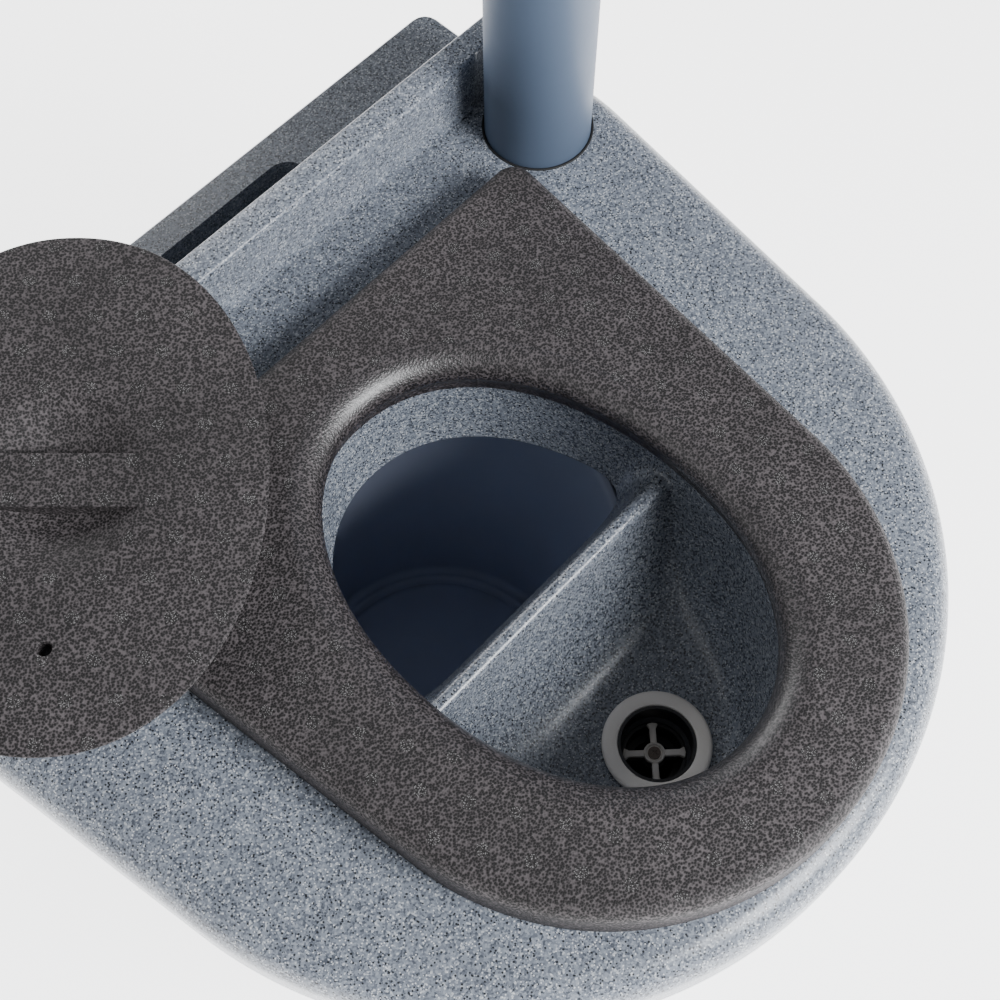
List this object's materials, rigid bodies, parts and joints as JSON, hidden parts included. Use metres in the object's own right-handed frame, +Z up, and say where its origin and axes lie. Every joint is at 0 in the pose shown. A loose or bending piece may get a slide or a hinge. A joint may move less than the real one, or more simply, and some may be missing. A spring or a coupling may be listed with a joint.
{
  "type": "composting toilet",
  "caption": "Separating dry toilet: speckled tapered body, lift-off cover with urine bowl and chute, foam seat and lid, vent pipe, pail and rear drain.",
  "frame": {"origin": "on the floor, under the middle of the body's plan, half way between its front and its back wall and on its mid-plane", "axes": "+Z up, -Y to the toilet's rounded front, +Y to its flat back, +X to the side with the vent pipe and the drain outlet"},
  "size_m": [0.624, 0.6706, 0.935],
  "materials": {
    "granite_casing": "speckled stone-look moulded plastic, blue-grey with black and white specks, satin",
    "granite_cover": "speckled stone-look moulded plastic, blue-grey with black and white specks, semi-gloss",
    "seat_foam": "moulded bead foam, charcoal, fine beads with steam-vent marks, satin",
    "lid_foam": "moulded bead foam, charcoal, fine beads with steam-vent marks, satin",
    "vent_plastic": "grey-blue extruded pipe, satin",
    "waste_plastic": "grey-blue drain pipe, satin",
    "black_rubber": "black sealing rubber, matt",
    "drain_white": "off-white moulded plastic, satin",
    "cup_black": "black moulded plastic",
    "screw_steel": "stainless steel",
    "black_plastic": "black moulded plastic",
    "clip_plastic": "dark grey clips",
    "bucket_plastic": "blue-grey moulded pail, satin",
    "bail_wire": "zinc-plated wire"
  },
  "bodies": {
    "casing": {"casing": "granite_casing", "bowl_elbow": "waste_plastic", "tail_seal": "black_rubber", "cross_pipe": "waste_plastic", "corner_elbow": "waste_plastic", "side_pipe": "waste_plastic", "pipe_coupler": "waste_plastic", "pipe_seals": "black_rubber", "outlet_spigot": "black_plastic", "outlet_gasket": "black_rubber", "outlet_nut": "black_plastic", "pipe_clips": "clip_plastic", "clip_screws": "screw_steel"},
    "cover": {"top_cover": "granite_cover", "vent_pipe": "vent_plastic", "vent_pipe_grommet": "black_rubber", "vent_socket_seal": "black_rubber", "drain_flange": "drain_white", "flange_gasket": "black_rubber", "strainer_cup": "cup_black", "cup_gasket": "black_rubber", "drain_grate": "drain_white", "grate_screw": "screw_steel", "tail_pipe": "waste_plastic", "tail_nut": "black_plastic", "tail_washer": "black_rubber"},
    "seat": {"seat": "seat_foam"},
    "lid": {"lid": "lid_foam"},
    "bucket": {"bucket": "bucket_plastic"},
    "bail": {"bail": "bail_wire", "bail_grip": "black_plastic"}
  },
  "joints": [
    {"name": "cover_lift", "type": "slide", "parent": "casing", "child": "cover", "axis": [0, 0, 1], "range_m": [0, 0.6]},
    {"name": "seat_lift", "type": "slide", "parent": "cover", "child": "seat", "axis": [0, 0, 1], "range_m": [0, 0.3]},
    {"name": "lid_lift", "type": "slide", "parent": "seat", "child": "lid", "axis": [0, 0, 1], "range_m": [0, 0.3]},
    {"name": "bucket_lift", "type": "slide", "parent": "casing", "child": "bucket", "axis": [0, 0, 1], "range_m": [0, 0.41]},
    {"name": "bail_swing", "type": "hinge", "parent": "bucket", "child": "bail", "pos_m": [0, 0.026, 0.294], "axis": [1, 0, 0], "range_deg": [0, 110]}
  ],
  "couplings": [
    {"joint": "bucket_lift", "follows": "cover_lift", "ratio": 0.67},
    {"joint": "bail_swing", "follows": "cover_lift", "rad_per_m": 3.1}
  ]
}
